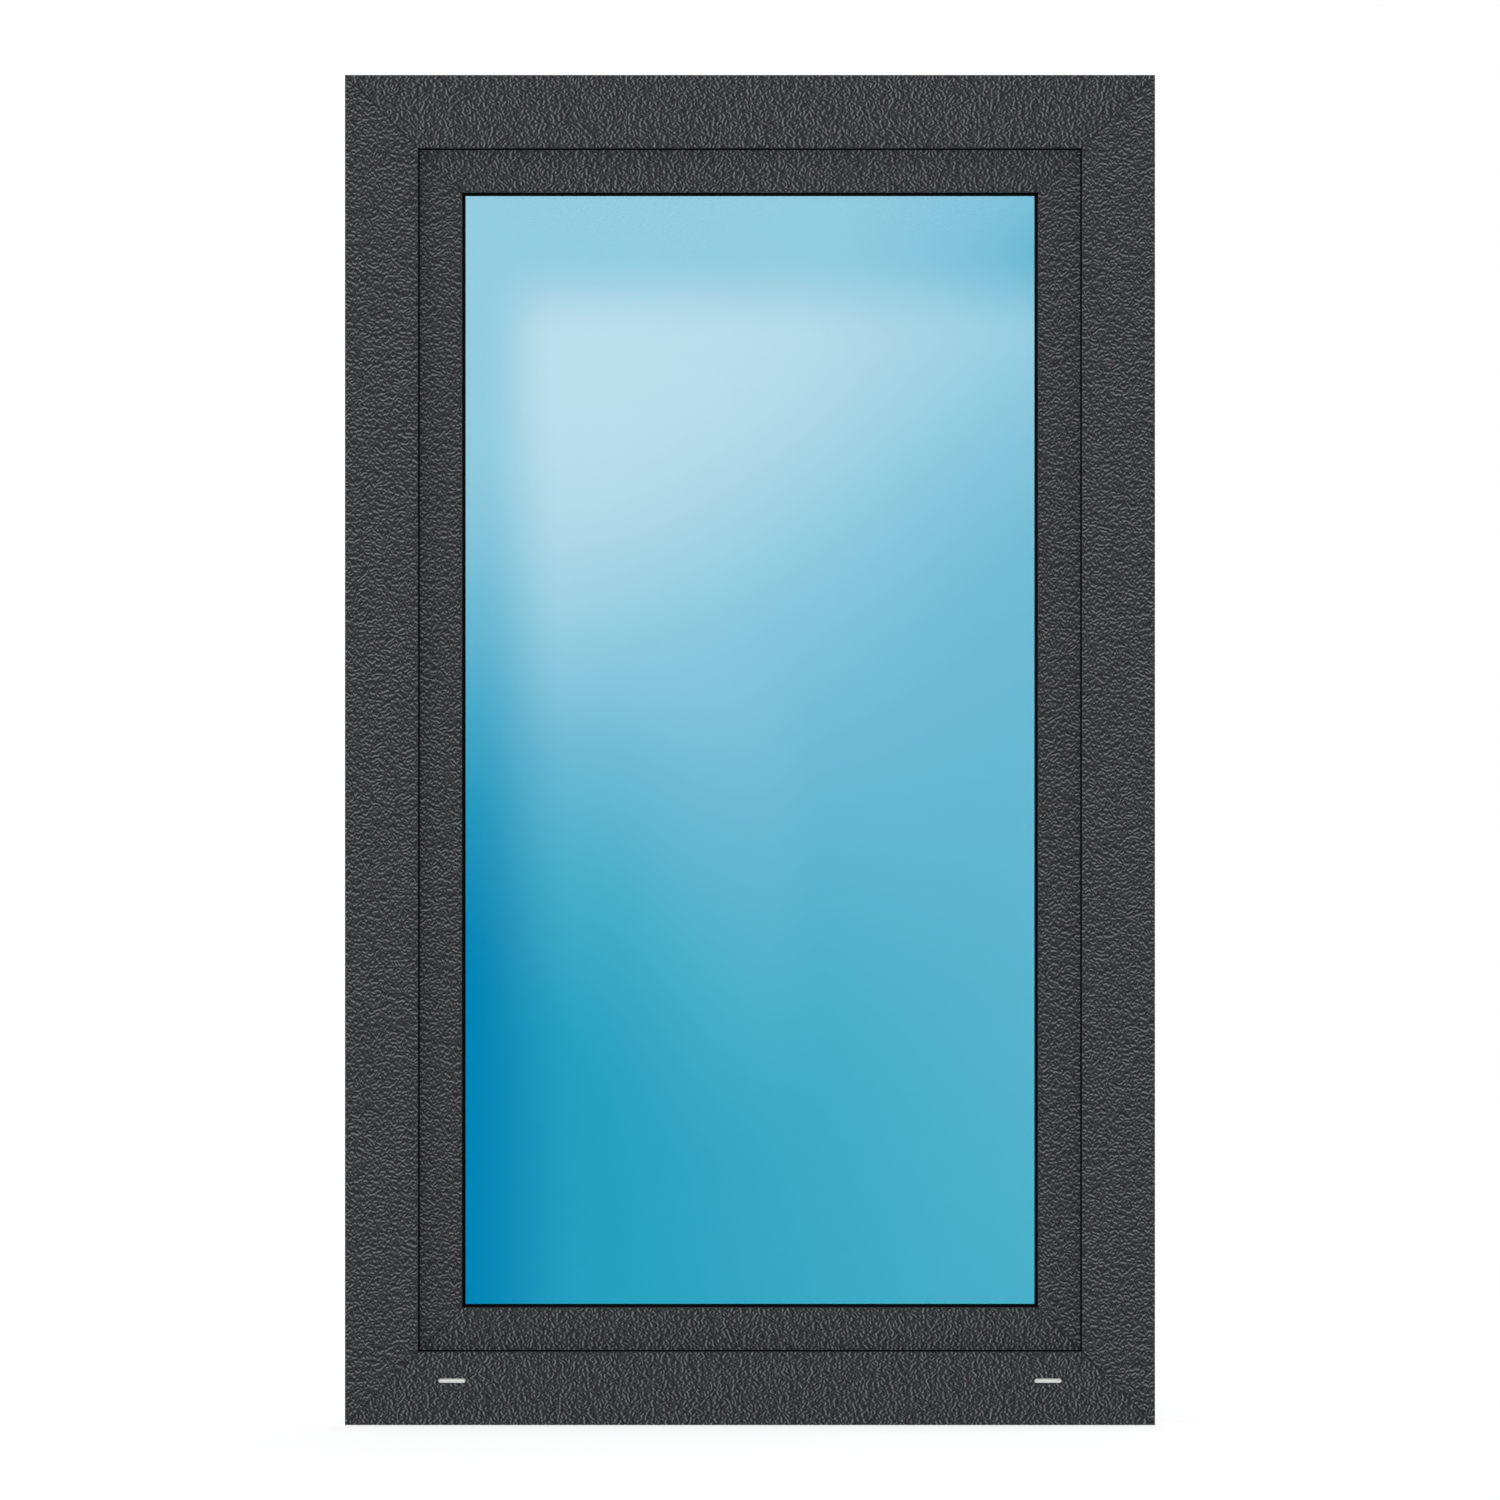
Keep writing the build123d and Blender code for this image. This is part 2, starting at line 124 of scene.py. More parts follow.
# Stage
WHITE = (1, 1, 1)
FLOOR_GREY = (0.85, 0.85, 0.85)
FLOOR_DROP = 0.5 * MILLIMETRE
SIDE_LIGHT_PLACE = (4.5, 5, 4.5)
CAMERA_REACH = 200


class SoftStep(NamedTuple):
    """A soft step of a pattern: where it starts and ends, and its values there."""

    start: float
    end: float
    first: float = 0.0
    last: float = 1.0
    kind: str = "SMOOTHSTEP"


# Painted sky reflection in the glass: places are across from the left edge and down from the top edge of the
# pane
# Strip down the left side and along the top, which deepens downwards and to the upper right corner
STRIP_FALL = SoftStep(0.2203, 0.8333, 0.581, 0.0)
CORNER_ACROSS = SoftStep(0.3143, 0.5933, kind="LINEAR")
CORNER_DOWN = SoftStep(-0.0017, 0.0783, 0.1, 0.16)

# Open sky, with one fall of tone on its left side and another on its right side
LEFT_FALL = SoftStep(0.1943, 1.0093, 0.74, 0.135)
RIGHT_FALL = SoftStep(0.4313, 1.1283, 0.426, 0.282, "LINEAR")
RIGHT_GLOW = SoftStep(0.4313, 0.1433, kind="LINEAR")
RIGHT_GLOW_TONE = 0.082
LEFT_SIDE_END = SoftStep(0.1723, 0.4503, 0.1983, 0.0453, "LINEAR")
RIGHT_SIDE_START = SoftStep(0.1723, 0.4503, 0.8433, 0.6453, "LINEAR")

# Fold in the lower half, with a furrow on its left and a ridge on its right
FOLD_TOP = SoftStep(0.4243, 0.6443)
FOLD_FOOT = SoftStep(1.0073, 0.8073)
FURROW_PLACE = 0.1153
FURROW = SoftStep(0.147, 0.0, 0.0, 0.046)
RIDGE_LEFT = SoftStep(0.1723, 0.3143)
RIDGE_RIGHT = SoftStep(0.3813, 0.3143)
RIDGE_TONE = 0.029

# Soft edge of the strip, which widens downwards
EDGE_START = SoftStep(0.1483, 0.9983, 0.0343, 0.0183, "LINEAR")
EDGE_END = SoftStep(0.1483, 0.9983, 0.1093, 0.1433, "LINEAR")
EDGE_TOP = SoftStep(0.0733, 0.1643)

# Tones at which the colours of the sky stand
DEEP_TONE = 0.0
SEA_TONE = 0.157
BLUE_TONE = 0.294
CLEAR_TONE = 0.431
PALE_TONE = 0.58
HAZE_TONE = 0.745


def shown(red, green, blue):
    """The linear colour that shows on screen as these values from 0 to 255."""
    parts = [value / 255 for value in (red, green, blue)]
    return tuple(p / 12.92 if p <= 0.04045 else ((p + 0.055) / 1.055) ** 2.4 for p in parts)


def colour_setting(name, description, colour):
    """A colour that can be changed in the sidebar."""
    return FloatVectorProperty(
        name=name, description=description, default=colour, subtype="COLOR", size=3, min=0, max=1
    )


def distance_setting(name, description, metres):
    """A distance that can be changed in the sidebar, given in metres."""
    return FloatProperty(name=name, description=description, default=metres, unit="LENGTH", min=0)


def length_setting(name, description, millimetres):
    """A small length that can be changed in the sidebar, given in millimetres."""
    return distance_setting(name, description, millimetres * MILLIMETRE)


def share_setting(name, description, value):
    """A plain number from 0 to 1 that can be changed in the sidebar."""
    return FloatProperty(name=name, description=description, default=value, subtype="FACTOR", min=0, max=1)


class FoilSettings(bpy.types.PropertyGroup):
    """Sizes and colours of the grained foil."""

    ridge_length: length_setting("Ridge Length", "Size of the grain across a profile", 4.0)
    ridge_spacing: length_setting("Ridge Spacing", "Size of the grain along a profile", 3.9)
    relief: length_setting("Relief", "Height of the embossed ridges", 0.14)
    wrap: length_setting("Wrap", "How far the foil reaches round onto the wall side", 6.0)
    weld_width: length_setting("Weld Width", "Half the width of a weld's darkest line", 0.4)
    weld_reach: length_setting("Weld Reach", "Where the line of a weld has faded out", 1.8)
    weld_strength: share_setting("Weld Strength", "How much of the weld's colour shows", 0.75)
    # Painted shade and light on the ridge flanks: the shaded flank, its lighter edge, the flat foil, the lit
    # flank and the painted glint of the brightest flank
    deep_shade: colour_setting("Valley", "Shaded flank of a ridge", shown(34, 35, 37))
    shade: colour_setting("Shade", "Edge of a valley", shown(41, 42, 44))
    field: colour_setting("Field", "Flat foil between the ridges", shown(50, 51, 53))
    lit_flank: colour_setting("Crest", "Ridge", shown(85, 87, 88))
    painted_glint: colour_setting("Glint", "Brightest ridge", shown(118, 120, 121))
    weld: colour_setting("Weld", "Line of a welded mitre", shown(28, 29, 31))
    core: colour_setting("Core", "White plastic under the foil", shown(251, 251, 249))
    # Strength of the painted light and shade on the ridge flanks
    contrast: share_setting("Contrast", "How far the flanks of a ridge differ in tone", 0.63)
    roughness: share_setting("Roughness", "Roughness of the flat foil", 0.58)
    ridge_polish: share_setting("Ridge Polish", "How much smoother the ridges are", 0.12)
    gloss: share_setting("Gloss", "Strength of the foil's reflections", 0.12)


class GlassSettings(bpy.types.PropertyGroup):
    """Colours of the painted sky reflection that the glass shows, from its pale top to its deep lower corner.
    """

    haze: colour_setting("Haze", "Palest sky", shown(190, 223, 235))
    pale: colour_setting("Pale", "Upper sky", shown(148, 204, 223))
    clear: colour_setting("Clear", "Middle sky", shown(110, 185, 211))
    blue: colour_setting("Blue", "Lower part of the open sky", shown(75, 175, 200))
    sea: colour_setting("Sea", "Bottom of the open sky", shown(40, 161, 191))
    strip_blue: colour_setting("Strip Blue", "Lower part of the strip along the edge", shown(75, 170, 201))
    strip_sea: colour_setting("Strip Sea", "Bottom of the strip along the edge", shown(40, 154, 190))
    deep: colour_setting("Deep", "Deep lower corner", shown(0, 133, 180))
    clear_glass: colour_setting("Clear Glass", "Tint of the inner pane", (0.97, 0.985, 0.98))
    mirror: colour_setting("Mirror", "Tint of what the outer pane mirrors", shown(30, 140, 190))


class HardwareSettings(bpy.types.PropertyGroup):
    """Colours of the rubber, metal and small plastic pieces, and the sizes of the hinge screws."""

    rubber: colour_setting("Rubber", "Sealing rubber", shown(6, 6, 7))
    sealant: colour_setting("Sealant", "Edge sealant of the glass unit", shown(24, 24, 25))
    block: colour_setting("Block", "Setting blocks", shown(120, 134, 165))
    spacer: colour_setting("Spacer", "Spacer bar", shown(190, 192, 194))
    handle: colour_setting("Handle", "Anodised handle", shown(186, 188, 190))
    hinge: colour_setting("Hinge", "Powder coat of the hinges", shown(168, 170, 172))
    steel: colour_setting("Steel", "Pins and screws", shown(142, 142, 145))
    metallic: share_setting("Metallic", "How far bare metal mirrors like metal", 0.9)
    screw_radius: length_setting("Screw Radius", "Radius of a screw head", 3.6)
    screw_height: length_setting("Screw Height", "Height of a screw head", 1.8)
    socket_radius: length_setting("Socket Radius", "Radius of the six-sided socket", 1.7)
    screws_per_leaf: IntProperty(name="Screws", description="Screws in each hinge leaf", default=3, min=1)


class StageSettings(bpy.types.PropertyGroup):
    """The camera, the lights and the floor."""

    view_width: distance_setting("View Width", "Width of the view at the window", 1.5)
    camera_distance: distance_setting("Camera Distance", "From the camera to the window", 20.0)
    light_distance: distance_setting("Light Distance", "From a front, edge or top light to the window", 12.0)
    light_rise: distance_setting("Light Rise", "How far the front and edge lights are raised", 0.8)
    light_size: distance_setting("Light Size", "Width of a front, edge or top light", 4.0)
    side_light_size: distance_setting("Side Light Size", "Width of a side light", 3.0)
    ambient: share_setting("Ambient", "Even light from all round", 0.13)
    front_light: share_setting("Front Light", "Light from straight ahead, on both faces", 0.6)
    edge_light: share_setting("Edge Light", "Light from straight beside, on both edges", 0.36)
    top_light: share_setting("Top Light", "Light from straight above", 0.3)
    side_light: share_setting("Side Light", "Light from one side and above, on both faces", 0.12)
    floor_size: distance_setting("Floor Size", "Width of the floor", 120.0)
    floor_light: share_setting("Floor Light", "How far the floor near the window is white by itself", 0.5)
    floor_glow: FloatProperty(
        name="Floor Glow", description="Brightness of that white near the window", default=1.42, min=0
    )
    shadow_reach: distance_setting("Shadow Reach", "Where the floor starts to turn plain white", 1.5)
    shadow_end: distance_setting("Shadow End", "Where the floor is plain white", 4.0)


class NodeSketch:
    """Adds nodes to one node tree. An input is given a number, a colour or another node's output."""

    # The colour sockets of a Mix node share their names with others, so they are found by number
    MIX_INPUTS = (0, 6, 7)
    MIX_RESULT = 2

    def __init__(self, tree):
        self.tree = tree
        tree.nodes.clear()

    def give(self, socket, value):
        """Set an input, or link it to another node's output."""
        if isinstance(value, bpy.types.NodeSocket):
            self.tree.links.new(value, socket)
        elif socket.type == "RGBA" and len(value) == 3:
            socket.default_value = (*value, 1)
        else:
            socket.default_value = value

    def node(self, kind, inputs=None, **settings):
        """A new node with its settings and inputs."""
        made = self.tree.nodes.new(kind)
        for name, value in settings.items():
            setattr(made, name, value)
        for name, value in (inputs or {}).items():
            self.give(made.inputs[name], value)
        return made

    def math(self, operation, *values):
        """A sum, product or other number worked out from numbers."""
        made = self.node("ShaderNodeMath", operation=operation)
        for socket, value in zip(made.inputs, values):
            self.give(socket, value)
        return made.outputs["Value"]

    def vector(self, operation, *values):
        """A vector worked out from vectors."""
        made = self.node("ShaderNodeVectorMath", operation=operation)
        for socket, value in zip(made.inputs, values):
            self.give(socket, value)
        return made.outputs["Vector"]

    def scaled(self, vector, factor):
        """A vector or colour times a number."""
        made = self.node("ShaderNodeVectorMath", {0: vector, "Scale": factor}, operation="SCALE")
        return made.outputs["Vector"]

    def fade(self, value, start, end, first=0.0, last=1.0, kind="SMOOTHSTEP"):
        """A number that goes from the first to the last as a value goes from start to end."""
        made = self.node("ShaderNodeMapRange", interpolation_type=kind)
        for name, given in (
            ("Value", value),
            ("From Min", start),
            ("From Max", end),
            ("To Min", first),
            ("To Max", last),
        ):
            self.give(made.inputs[name], given)
        return made.outputs["Result"]

    def between(self, value, low, high):
        """A mask that is 1 where the value lies between two limits."""
        above = self.math("GREATER_THAN", value, low)
        below = self.math("LESS_THAN", value, high)
        return self.math("MULTIPLY", above, below)

    def blend(self, share, first, second):
        """A number that goes from the first to the second."""
        step = self.math("SUBTRACT", second, first)
        return self.math("MULTIPLY_ADD", step, share, first)

    def noise(self, vector, scale, detail):
        """A smooth noise."""
        made = self.node("ShaderNodeTexNoise", {"Vector": vector, "Scale": scale, "Detail": detail})
        return made.outputs["Fac"]

    def colours(self, value, stops):
        """A colour from a row of (place, colour) stops."""
        made = self.node("ShaderNodeValToRGB", {"Fac": value})
        elements = made.color_ramp.elements
        elements[0].position = stops[0][0]
        elements[1].position = stops[-1][0]
        for place, colour in stops[1:-1]:
            elements.new(place)
        for element, (place, colour) in zip(elements, stops):
            element.color = (*colour, 1)
        return made.outputs["Color"]

    def mix(self, share, first, second, blend_type="MIX"):
        """A colour mixed from two."""
        made = self.node("ShaderNodeMix", data_type="RGBA", blend_type=blend_type)
        for index, value in zip(self.MIX_INPUTS, (share, first, second)):
            self.give(made.inputs[index], value)
        return made.outputs[self.MIX_RESULT]

    def mix_shaders(self, share, first, second):
        """A shader mixed from two."""
        made = self.node("ShaderNodeMixShader", {"Fac": share, 1: first, 2: second})
        return made.outputs["Shader"]

    def bump(self, height, distance):
        """A normal that follows a height."""
        return self.node("ShaderNodeBump", {"Height": height, "Distance": distance}).outputs["Normal"]

    def place(self):
        """Where a point of the piece lies."""
        return self.node("ShaderNodeTexCoord").outputs["Object"]

    def axes(self):
        """The X, Y and Z of a point of the piece."""
        return self.node("ShaderNodeSeparateXYZ", {"Vector": self.place()}).outputs

    def surface(self, inputs):
        """The Principled shader of a material, joined to its output."""
        shader = self.node("ShaderNodeBsdfPrincipled", inputs)
        self.node("ShaderNodeOutputMaterial", {"Surface": shader.outputs["BSDF"]})


def new_material(name):
    """An empty material and the sketch that fills it."""
    material = bpy.data.materials.new(name)
    material.use_nodes = True
    return material, NodeSketch(material.node_tree)


def new_group(name, inputs, outputs):
    """The sketch of a new shader node group with named sockets, its input values and its results."""
    tree = bpy.data.node_groups.new(name, "ShaderNodeTree")
    sketch = NodeSketch(tree)
    for key, kind in inputs:
        tree.interface.new_socket(name=key, in_out="INPUT", socket_type=kind)
    for key, kind in outputs:
        tree.interface.new_socket(name=key, in_out="OUTPUT", socket_type=kind)
    entry = sketch.node("NodeGroupInput")
    leave = sketch.node("NodeGroupOutput")
    return sketch, entry.outputs, leave.inputs


def shared_group(name, build):
    """The shader node group of this name, built the first time that it is needed."""
    if name not in bpy.data.node_groups:
        build(name)
    return bpy.data.node_groups[name]


def build_mottle(name):
    """Slight cloudiness and fine pimples, for rubber, powder coat and moulded plastic."""
    cloud_detail = 3.0
    pimple_detail = 1.0
    roughness_swing = 0.25
    sketch, given, result = new_group(
        name,
        (
            ("Vector", "NodeSocketVector"),
            ("Colour", "NodeSocketColor"),
            ("Cloud Size", "NodeSocketFloat"),
            ("Cloud Strength", "NodeSocketFloat"),
            ("Pimple Size", "NodeSocketFloat"),
            ("Roughness", "NodeSocketFloat"),
        ),
        (
            ("Colour", "NodeSocketColor"),
            ("Roughness", "NodeSocketFloat"),
            ("Height", "NodeSocketFloat"),
        ),
    )
    cloud_scale = sketch.math("DIVIDE", 1.0, given["Cloud Size"])
    pimple_scale = sketch.math("DIVIDE", 1.0, given["Pimple Size"])
    cloud = sketch.noise(given["Vector"], cloud_scale, cloud_detail)
    pimples = sketch.noise(given["Vector"], pimple_scale, pimple_detail)
    swing = sketch.math("SUBTRACT", cloud, NOISE_MIDDLE)
    lift = sketch.math("MULTIPLY_ADD", swing, given["Cloud Strength"], 1.0)
    rougher = sketch.math("MULTIPLY_ADD", swing, roughness_swing, given["Roughness"])
    sketch.give(result["Colour"], sketch.scaled(given["Colour"], lift))
    sketch.give(result["Roughness"], rougher)
    sketch.give(result["Height"], pimples)


def build_brushed(name):
    """Fine lines along one direction, for drawn and anodised metal."""
    line_detail = 2.0
    line_strength = 0.3
    wear_scale = 40.0
    wear_detail = 3.0
    roughness_swing = 0.2
    sketch, given, result = new_group(
        name,
        (
            ("Vector", "NodeSocketVector"),
            ("Colour", "NodeSocketColor"),
            ("Line Width", "NodeSocketFloat"),
            ("Line Length", "NodeSocketFloat"),
            ("Roughness", "NodeSocketFloat"),
        ),
        (
            ("Colour", "NodeSocketColor"),
            ("Roughness", "NodeSocketFloat"),
            ("Height", "NodeSocketFloat"),
        ),
    )
    across = sketch.math("DIVIDE", 1.0, given["Line Width"])
    along = sketch.math("DIVIDE", 1.0, given["Line Length"])
    scale = sketch.node("ShaderNodeCombineXYZ", {"X": across, "Y": across, "Z": along})
    line_place = sketch.vector("MULTIPLY", given["Vector"], scale.outputs["Vector"])
    lines = sketch.noise(line_place, 1.0, line_detail)
    wear = sketch.noise(given["Vector"], wear_scale, wear_detail)
    swing = sketch.math("SUBTRACT", lines, NOISE_MIDDLE)
    lift = sketch.math("MULTIPLY_ADD", swing, line_strength, 1.0)
    rubbed = sketch.math("SUBTRACT", wear, NOISE_MIDDLE)
    uneven = sketch.math("MULTIPLY_ADD", swing, line_strength, rubbed)
    rougher = sketch.math("MULTIPLY_ADD", uneven, roughness_swing, given["Roughness"])
    sketch.give(result["Colour"], sketch.scaled(given["Colour"], lift))
    sketch.give(result["Roughness"], rougher)
    sketch.give(result["Height"], lines)


def foil_grain(sketch, look, axes, upright):
    """A function that gives the height of the foil's ridges a little way along the profile."""
    # The grain turns at the mitres, where an upright profile meets a level one
    across = sketch.blend(upright, axes["Z"], axes["X"])
    along = sketch.blend(upright, axes["X"], axes["Z"])
    turned = sketch.node("ShaderNodeCombineXYZ", {"X": across, "Y": axes["Y"], "Z": along})
    fineness = (1 / look.ridge_length, 1 / look.ridge_length, 1 / look.ridge_spacing)
    grain_place = sketch.vector("MULTIPLY", turned.outputs["Vector"], fineness)
    shift = sketch.vector("MULTIPLY", UPRIGHT_SHIFT, upright)
    grain_place = sketch.vector("ADD", grain_place, shift)

    # Every face of a profile cuts the noise at a slant, so that all show the same grain
    slanted = sketch.node("ShaderNodeMapping", {"Vector": grain_place, "Rotation": GRAIN_SLANT})

    def ridge(shift):
        """Height of the ridges, which follow the level lines of a noise."""
        step = GRAIN_SLANT.to_matrix() @ Vector((0, 0, shift))
        level = sketch.noise(sketch.vector("ADD", slanted.outputs["Vector"], step), 1.0, GRAIN_DETAIL)
        off_line = sketch.math("ABSOLUTE", sketch.math("SUBTRACT", level, NOISE_MIDDLE))
        return sketch.fade(off_line, 0.0, RIDGE_WIDTH, 1.0, 0.0)

    return ridge


def foil_colour(sketch, look, ridge, off_mitre):
    """Colour of the foil: painted light and shade on the flanks of its ridges, faint coloured clouds and the
    thin dark line of a welded mitre.
    """
    # Painted light and shade: one flank of each ridge is painted lighter and the other darker, as if lit
    # along the profile
    lit_minus_shaded = sketch.math("SUBTRACT", ridge(-FLANK_SHIFT), ridge(FLANK_SHIFT))
    tone = sketch.math("MULTIPLY_ADD", lit_minus_shaded, look.contrast, FIELD_TONE)
    stops = (
        (0.0, look.deep_shade),
        (SHADE_TONE, look.shade),
        (FIELD_TONE, look.field),
        (LIT_FLANK_TONE, look.lit_flank),
        (1.0, look.painted_glint),
    )
    foil = sketch.colours(tone, stops)
    cloud = sketch.noise(sketch.place(), FOIL_CLOUD_SCALE, FOIL_CLOUD_DETAIL)
    foil = sketch.mix(1.0, foil, sketch.colours(cloud, (COOL_CLOUD, WARM_CLOUD)), "MULTIPLY")
    weld = sketch.fade(off_mitre, look.weld_width, look.weld_reach, look.weld_strength, 0.0)
    return sketch.mix(weld, foil, look.weld)


def bare_plastic(sketch, look, depth, inset):
    """A mask that is 1 where the foil ends: on the wall side, and in the chambers at the drain slots."""
    at_wall = sketch.math("LESS_THAN", inset, WALL_SIDE_DEPTH)
    past_wrap = sketch.between(depth, outside_face + look.wrap, room_face - look.wrap)
    wall_side = sketch.math("MULTIPLY", at_wall, past_wrap)
    behind_face = sketch.between(depth, outside_face + FOIL_THICKNESS, outside_face + CHAMBER_DEPTH)
    in_chamber = sketch.between(inset, CHAMBER_INSET, frame_face - PROFILE_WALL)
    in_slot = sketch.math("MULTIPLY", behind_face, in_chamber)
    return sketch.math("MAXIMUM", wall_side, in_slot)


def foil_material(look):
    """Dark foil with a leather grain that runs across each profile, with painted light and shade on its
    ridges, over a white plastic core.
    """
    material, sketch = new_material("grained_foil")
    axes = sketch.axes()
    side_inset = sketch.math("SUBTRACT", half_width, sketch.math("ABSOLUTE", axes["X"]))
    end_inset = sketch.math("MINIMUM", axes["Z"], sketch.math("SUBTRACT", window_height, axes["Z"]))
    inset = sketch.math("MINIMUM", side_inset, end_inset)
    off_mitre = sketch.math("ABSOLUTE", sketch.math("SUBTRACT", side_inset, end_inset))
    upright = sketch.math("LESS_THAN", side_inset, end_inset)

    ridge = foil_grain(sketch, look, axes, upright)
    foil = foil_colour(sketch, look, ridge, off_mitre)
    bare = bare_plastic(sketch, look, axes["Y"], inset)
    covered = sketch.math("SUBTRACT", 1.0, bare)
    height = sketch.math("MULTIPLY", ridge(0.0), covered)
    sketch.surface(
        {
            "Base Color": sketch.mix(bare, foil, look.core),
            "Roughness": sketch.math("MULTIPLY_ADD", height, -look.ridge_polish, look.roughness),
            "Specular IOR Level": look.gloss,
            "Normal": sketch.bump(height, look.relief),
        }
    )
    return material


def pane_tint(sky, look):
    """The tint of the outer pane that shows as this painted sky reflection against white.

    Light passes both panes once, and some comes back from the two faces of the inner pane.
    """
    tint = []
    for wanted, mirror, clear in zip(sky, look.mirror, look.clear_glass):
        mirrored = FACE_MIRROR * mirror
        entering = (1 - mirrored) ** 2
        passing = entering * (1 - FACE_MIRROR) ** 2 * clear
        returning = 2 * FACE_MIRROR * entering
        spare = max(wanted - mirrored, 0)
        tint.append((math.sqrt(passing**2 + 4 * returning * spare) - passing) / (2 * returning))
    return tuple(tint)


def open_sky_tone(sketch, across, down):
    """Tone of the open sky in the painted reflection, blended from its left side to its right side, with a
    fold in its lower half.
    """
    left = sketch.fade(down, *LEFT_FALL)
    glow = sketch.math("POWER", sketch.fade(down, *RIGHT_GLOW), 2.0)
    right = sketch.math("MULTIPLY_ADD", glow, RIGHT_GLOW_TONE, sketch.fade(down, *RIGHT_FALL))
    left_end = sketch.fade(down, *LEFT_SIDE_END)
    right_start = sketch.fade(down, *RIGHT_SIDE_START)
    tone = sketch.blend(sketch.fade(across, left_end, right_start), left, right)

    level = sketch.math("MULTIPLY", sketch.fade(down, *FOLD_TOP), sketch.fade(down, *FOLD_FOOT))
    ridge = sketch.math("MULTIPLY", sketch.fade(across, *RIDGE_LEFT), sketch.fade(across, *RIDGE_RIGHT))
    off_furrow = sketch.math("ABSOLUTE", sketch.math("SUBTRACT", across, FURROW_PLACE))
    furrow = sketch.fade(off_furrow, *FURROW)
    fold = sketch.math("SUBTRACT", sketch.math("MULTIPLY", ridge, RIDGE_TONE), furrow)
    return sketch.math("MULTIPLY_ADD", level, fold, tone)


def strip_tone(sketch, across, down):
    """Tone of the painted sky's strip down the left side and along the top."""
    to_right = sketch.math("POWER", sketch.fade(across, *CORNER_ACROSS), 2.0)
    deepening = sketch.math("MULTIPLY", to_right, sketch.fade(down, *CORNER_DOWN))
    return sketch.math("SUBTRACT", sketch.fade(down, *STRIP_FALL), deepening)


def painted_sky_reflection(sketch, look):
    """The painted sky reflection that the glass shows: pale at the upper left, deeper below, with a strip
    along two edges.
    """
    axes = sketch.axes()
    across = sketch.math("SUBTRACT", axes["X"], pane_low.x)
    down = sketch.math("SUBTRACT", pane_high.z, axes["Z"])

    def coloured(tone, sea, blue):
        """The pane's tint for a tone of the painted sky, with its own two lower colours."""
        stops = (
            (DEEP_TONE, look.deep),
            (SEA_TONE, sea),
            (BLUE_TONE, blue),
            (CLEAR_TONE, look.clear),
            (PALE_TONE, look.pale),
            (HAZE_TONE, look.haze),
        )
        return sketch.colours(tone, [(place, pane_tint(sky, look)) for place, sky in stops])

    strip = coloured(strip_tone(sketch, across, down), look.strip_sea, look.strip_blue)
    open_sky = coloured(open_sky_tone(sketch, across, down), look.sea, look.blue)
    edge_start = sketch.fade(down, *EDGE_START)
    edge_end = sketch.fade(down, *EDGE_END)
    past_side = sketch.fade(across, edge_start, edge_end)
    inside = sketch.math("MULTIPLY", past_side, sketch.fade(down, *EDGE_TOP))
    return sketch.mix(inside, strip, open_sky)


def painted_sky_glass_material(look):
    """The outer pane, whose tint shows a painted reflection of a blue sky."""
    material, sketch = new_material("tinted_glass")
    sketch.surface(
        {
            # Painted reflection: the pane's tint carries a sky reflection painted across it
            "Base Color": painted_sky_reflection(sketch, look),
            "Roughness": 0.0,
            "IOR": GLASS_IOR,
            "Specular Tint": look.mirror,
            "Transmission Weight": 1.0,
        }
    )
    return material


def clear_glass_material(look):
    """The inner pane."""
    material, sketch = new_material("clear_glass")
    haze = sketch.noise(sketch.place(), HAZE_SCALE, HAZE_DETAIL)
    hazy_glass = [part * HAZE_SHARE for part in look.clear_glass]
    stops = ((HAZE_START, look.clear_glass), (HAZE_END, hazy_glass))
    sketch.surface(
        {
            "Base Color": sketch.colours(haze, stops),
            "Roughness": 0.0,
            "IOR": GLASS_IOR,
            "Transmission Weight": 1.0,
        }
    )
    return material


def mottled_material(name, colour, cloud_size, cloud_strength, pimple_size, relief, roughness, gloss):
    """Rubber, sealant, powder coat or moulded plastic. Its lengths are in millimetres."""
    material, sketch = new_material(name)
    mottle = sketch.node(
        "ShaderNodeGroup",
        {
            "Vector": sketch.place(),
            "Colour": colour,
            "Cloud Size": cloud_size * MILLIMETRE,
            "Cloud Strength": cloud_strength,
            "Pimple Size": pimple_size * MILLIMETRE,
            "Roughness": roughness,
        },
        node_tree=shared_group("mottle", build_mottle),
    )
    sketch.surface(
        {
            "Base Color": mottle.outputs["Colour"],
            "Roughness": mottle.outputs["Roughness"],
            "Specular IOR Level": gloss,
            "Normal": sketch.bump(mottle.outputs["Height"], relief * MILLIMETRE),
        }
    )
    return material


def brushed_material(name, colour, metallic, line_width, line_length, relief, roughness):
    """Anodised, drawn or plated metal. Its lengths are in millimetres."""
    material, sketch = new_material(name)
    brushed = sketch.node(
        "ShaderNodeGroup",
        {
            "Vector": sketch.place(),
            "Colour": colour,
            "Line Width": line_width * MILLIMETRE,
            "Line Length": line_length * MILLIMETRE,
            "Roughness": roughness,
        },
        node_tree=shared_group("brushed", build_brushed),
    )
    sketch.surface(
        {
            "Base Color": brushed.outputs["Colour"],
            "Metallic": metallic,
            "Roughness": brushed.outputs["Roughness"],
            "Normal": sketch.bump(brushed.outputs["Height"], relief * MILLIMETRE),
        }
    )
    return material


def finish_nodes(names, material):
    """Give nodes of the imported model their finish."""
    for name in names:
        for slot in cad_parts[name].material_slots:
            slot.material = material


def nodes_named(*starts, end=""):
    """The nodes whose names start with one of these words and have this end, in order."""
    return [name for name in sorted(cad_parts) if name.startswith(starts) and name.endswith(end)]


